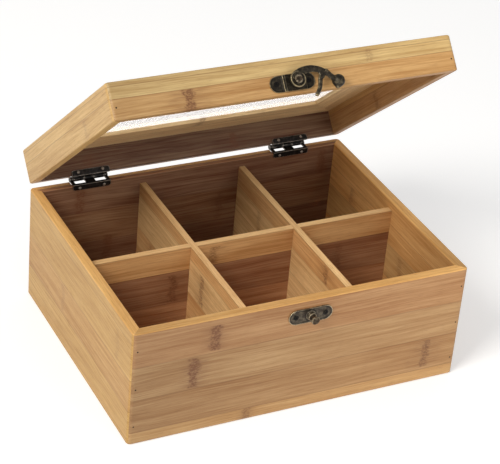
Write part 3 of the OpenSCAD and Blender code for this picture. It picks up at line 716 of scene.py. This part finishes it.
hook = dict(middle=4.7, thickness=1.9, archCentre=(7.3, -11.0), archOuter=18.0,
            eye=[(3.78, 4.3), (3.95, 4.68), (5.4, 4.68), (5.66, 4.45), (5.66, 3.95), (5.15, 3.55),
                 (5.15, 0.6)],
            arch=[(130, 3.4), (120, 4.2), (110, 4.5), (100, 4.4), (90, 4.2), (80, 4.0), (70, 3.8), (60, 3.5),
                  (52, 3.3), (44, 3.2), (36, 3.0)],  # degrees round the arch's centre, width
            root=[(16.3, 3.4, 4.8), (15.7, 2.0, 4.9), (15.25, 0.8, 4.5), (14.7, -0.4, 3.4)],  # x, y, width
            prong=[(-6.5, 2.8), (-13.5, 2.7), (-21, 2.7), (-28.5, 2.6), (-35.5, 2.5), (-42, 2.4),
                   (-47.5, 2.3), (-50, 1.8)],  # degrees round the pivot, width
            prongOuter=15.0, prongShare=0.95, knob=(24.35, -4.1), knobRadius=3.7, neckStep=0.9,
            neck=[(17.2, 2.6, 3.4), (18.3, 1.6, 3.4), (19.6, 0.0, 3.2), (20.8, -1.4, 3.2), (22.2, -2.6, 3.9),
                  (23.4, -3.5, 5.2)],
            nub=[(24.25, -4.6, 7.2), (23.75, -5.8, 5.9), (23.3, -6.8, 4.2), (22.95, -7.7, 2.6),
                 (22.7, -8.3, 1.3)])
middle = hook["middle"]
bar = hook["thickness"]
eye = turnedPart(hook["eye"])
arch = sweptPart([(*onArc(*hook["archCentre"], hook["archOuter"] - width / 2, degrees), width, bar)
                  for degrees, width in hook["arch"]], middle)
prongLine = hook["root"] + [(*onArc(0, 0, hook["prongOuter"] - width / 2, degrees), width)
                            for degrees, width in hook["prong"]]
prong = sweptPart([(x, y, width, bar * hook["prongShare"]) for x, y, width in prongLine], middle)
neckLine = [(x, y, width, max(bar, width - hook["neckStep"])) for x, y, width in hook["neck"]]
neck = sweptPart(neckLine, middle)
clearSelection()
knobX, knobY = hook["knob"]
bpy.ops.mesh.primitive_uv_sphere_add(segments=48, ring_count=24, radius=hook["knobRadius"] / 1000,
                                     location=mm(knobX, knobY, middle))
knob = bpy.context.object
tip = sweptPart([(x, y, width, width) for x, y, width in hook["nub"]], middle)
latchHook = castPiece([eye, arch, prong, neck, knob, tip], voxel=0.13, rounds=5)
settle(latchHook, "latch_hook_cast", latchOrigin, *latchAxes, antiqueBronze, "hook", ["latch_hook"],
       "antique_bronze")
print("hook latch modelled")

# Catch on the front of the body

catch = dict(x=2.6, drop=10.0, length=28.2, height=9.6, thickness=1.0, rim=0.85, rimDepth=0.4,
             boss=[(0.2, 3.4), (0.7, 3.3), (1.0, 2.9), (1.05, 2.0)],
             peg=[(0.1, 1.5), (1.0, 1.5), (1.05, 2.2), (1.4, 1.95), (2.2, 1.8), (2.4, 2.3), (2.6, 2.48),
                  (3.1, 2.48), (3.28, 2.2), (3.45, 1.72), (5.9, 1.7), (6.12, 2.1), (6.3, 2.5), (6.6, 2.6),
                  (7.1, 2.55), (7.45, 2.2), (7.58, 1.6), (7.55, 0.9), (7.4, 0.4)])
catchOrigin = Vector((catch["x"] / 1000, -boxDepth / 2, bodyHeight - catch["drop"] / 1000))
catchAxes = (sideways, upwards, -backwards)
catchPlate = obroundPlate(catch["length"], catch["height"], catch["thickness"])
moveTop(catchPlate, lambda x: True, inset=catch["rim"], depth=-catch["rimDepth"])
boss = turnedPart(catch["boss"], sides=48)
catchPlate = castPiece([catchPlate, boss], rounds=3)
settle(catchPlate, "catch_plate_cast", catchOrigin, *catchAxes, catchBronze, "box", ["catch_plate"],
       "antique_bronze")

peg = turnedPart(catch["peg"])
peg = castPiece([peg], voxel=0.1, rounds=2)
settle(peg, "catch_peg_turned", catchOrigin, *catchAxes, pegBrass, "box", ["catch_peg"], "antique_bronze")
print("catch modelled")

# Hinges: a bent leaf on each rim, with rolled knuckles that take turns along the pin

hinge = dict(side=69.0, width=25.0, wall=6.3, leaf=0.9, strip=1.15, flange=3.0, corner=1.4, barrel=1.6,
             bodySpans=[(-12.5, -10.3), (-3.2, 3.2), (10.3, 12.5)], lidSpans=[(-10.1, -3.4), (3.4, 10.1)])


def blockPart(low, high, bevel=0.12, upright=0.0):
    # A bar of leaf metal between two corners, with softened edges, and rounder ones across the leaf
    clearSelection()
    middlePoint = [(a + b) / 2 for a, b in zip(low, high)]
    spans = [b - a for a, b in zip(low, high)]
    bpy.ops.mesh.primitive_cube_add(size=1, location=mm(*middlePoint), scale=mm(*spans))
    bpy.ops.object.transform_apply(location=True, rotation=True, scale=True)
    part = bpy.context.object
    if upright:
        bpy.ops.object.mode_set(mode="EDIT")
        bpy.ops.mesh.select_mode(type="EDGE")
        bpy.ops.mesh.select_all(action="DESELECT")
        bpy.ops.object.mode_set(mode="OBJECT")
        far = low[2] if abs(low[2]) > abs(high[2]) else high[2]
        for edge in part.data.edges:
            ends = [part.data.vertices[i].co for i in edge.vertices]
            alongDepth = abs(ends[0].y - ends[1].y) > 1e-5
            edge.select = alongDepth and all(abs(end.z - far / 1000) < 1e-5 for end in ends)
        bpy.ops.object.mode_set(mode="EDIT")
        bpy.ops.mesh.bevel(offset=upright / 1000, segments=6, affect="EDGES")
        bpy.ops.object.mode_set(mode="OBJECT")
    applied(part, "BEVEL", width=bevel / 1000, segments=3, limit_method="ANGLE", angle_limit=math.radians(50))
    return part


def knucklePart(start, end, radius):
    # A rolled barrel with softened rims
    clearSelection()
    bpy.ops.mesh.primitive_cylinder_add(vertices=40, radius=radius / 1000, depth=(end - start) / 1000,
                                        location=mm((start + end) / 2, 0, 0), rotation=(0, math.pi / 2, 0))
    part = bpy.context.object
    bpy.ops.object.mode_set(mode="EDIT")
    bpy.ops.mesh.select_mode(type="FACE")
    bpy.ops.mesh.select_all(action="DESELECT")
    bpy.ops.object.mode_set(mode="OBJECT")
    for face in part.data.polygons:
        face.select = len(face.vertices) > 4
    bpy.ops.object.mode_set(mode="EDIT")
    bpy.ops.mesh.bevel(offset=0.00014, segments=3, affect="EDGES")
    bpy.ops.object.mode_set(mode="OBJECT")
    return part


def hingeLeaf(name, side, up, spans, axes, body, replaced):
    # up is 1 for the leaf below the pin and -1 for the one above it
    wall, leaf, rim = hinge["wall"], hinge["leaf"], rimGap * 500
    half = hinge["width"] / 2
    near, far = sorted((-up * rim, -up * (rim - leaf)))
    parts = [blockPart((-half, -wall - leaf, near), (half, -wall + hinge["strip"], far))]
    foot, top = sorted((-up * (rim + hinge["flange"]), -up * (rim - leaf)))
    parts.append(blockPart((-half, -wall - leaf, foot), (half, -wall, top), upright=hinge["corner"]))
    for start, end in spans:
        parts.append(knucklePart(start, end, hinge["barrel"]))
        parts.append(blockPart((start, -wall + 0.2, near), (end, -0.1, far), bevel=0.1))
    part = castPiece(parts, voxel=0.12, rounds=2, reach=0.1)
    origin = hingeAxis + side * hinge["side"] / 1000 * sideways
    settle(part, name, origin, *axes, blackHinge, body, [replaced], "blackened_hinge")


bodyAxes = (sideways, backwards, upwards)
lidAxes = (sideways, lidBack, lidUp)
for side, word in ((-1, "left"), (1, "right")):
    hingeLeaf(f"{word}_hinge_body_rolled", side, 1, hinge["bodySpans"], bodyAxes, "box",
              f"{word}_hinge_body_leaf")
    hingeLeaf(f"{word}_hinge_lid_rolled", side, -1, hinge["lidSpans"], lidAxes, "lid",
              f"{word}_hinge_lid_leaf")
print("hinges modelled")

# Clear pane in the lid

paneMaterial, tree, shader = newMaterial("clear pane")
shader.inputs["Base Color"].default_value = srgb(252, 250, 248)
shader.inputs["Transmission Weight"].default_value = 1.0
shader.inputs["IOR"].default_value = 1.49
haze = noiseOf(tree, scaled(tree, addNode(tree, "ShaderNodeTexCoord").outputs["Object"], 30, 30, 30), 2.0)
tree.links.new(rangeOf(tree, haze, 0.45, 0.75, 0.0, 0.012), shader.inputs["Roughness"])
finishNode("window_pane", paneMaterial)

# Camera at the photograph's viewing angle

cameraData = bpy.data.cameras.new("camera")
camera = bpy.data.objects.new("camera", cameraData)
bpy.context.scene.collection.objects.link(camera)
cameraData.sensor_width = 36.0
cameraData.lens = 134.8
cameraData.clip_start = 0.05
azimuth = math.radians(28.278)
elevation = math.radians(31.373)
roll = math.radians(5.369)
level = Vector((math.sin(azimuth), math.cos(azimuth), 0))
forward = math.cos(elevation) * level - math.sin(elevation) * upwards
levelRight = forward.cross(upwards).normalized()
levelUp = levelRight.cross(forward)
right = math.cos(roll) * levelRight + math.sin(roll) * levelUp
up = math.cos(roll) * levelUp - math.sin(roll) * levelRight
facing = Matrix((right, up, -forward)).transposed().to_4x4()
camera.matrix_world = Matrix.Translation(mm(-454.67, -851.56, 661.76)) @ facing
bpy.context.scene.camera = camera

# Floor, lamps and world

bpy.ops.mesh.primitive_plane_add(size=6, location=(0, 0, -0.0002))
floor = bpy.context.object
floor.name = "floor"
floorMaterial, tree, shader = newMaterial("pale floor")
shader.inputs["Base Color"].default_value = srgb(236, 236, 236)
shader.inputs["Roughness"].default_value = 0.8
rays = addNode(tree, "ShaderNodeLightPath")
through = rays.outputs["Is Transmission Ray"]
seen = mathOf(tree, "MAXIMUM", rays.outputs["Is Glossy Ray"], through)
seen = mathOf(tree, "MAXIMUM", rays.outputs["Is Camera Ray"], seen)
glow = mathOf(tree, "MULTIPLY_ADD", seen, 0.35, through)  # brighter still through the pane
tree.links.new(glow, shader.inputs["Emission Strength"])
shader.inputs["Emission Color"].default_value = (1, 1, 1, 1)
floor.data.materials.append(floorMaterial)

world = bpy.data.worlds.new("studio")
bpy.context.scene.world = world
world.use_nodes = True
tree = world.node_tree
backdrop = tree.nodes["Background"]
rays = addNode(tree, "ShaderNodeLightPath")
seen = mathOf(tree, "MAXIMUM", rays.outputs["Is Camera Ray"], rays.outputs["Is Transmission Ray"])
tree.links.new(rangeOf(tree, seen, 0.0, 1.0, 0.45, 1.0), backdrop.inputs["Strength"])
backdrop.inputs["Color"].default_value = (1, 1, 1, 1)


def addLamp(name, position, target, size, power, tint):
    data = bpy.data.lights.new(name, "AREA")
    data.size = size
    data.energy = power
    data.color = tint
    lamp = bpy.data.objects.new(name, data)
    bpy.context.scene.collection.objects.link(lamp)
    lamp.location = position
    lamp.rotation_euler = (Vector(target) - Vector(position)).to_track_quat("-Z", "Y").to_euler()


addLamp("key", (-1.3, -0.6, 1.35), (0, 0, 0.05), 0.7, 24, (1.0, 0.97, 0.92))
addLamp("fill", (0.9, -1.6, 0.9), (0, 0, 0.05), 1.2, 5, (1.0, 0.97, 0.95))
addLamp("low", (-0.35, -1.7, 0.16), (0, 0, 0.12), 0.5, 4, (1.0, 0.98, 0.95))

bpy.context.scene.view_settings.view_transform = "Standard"
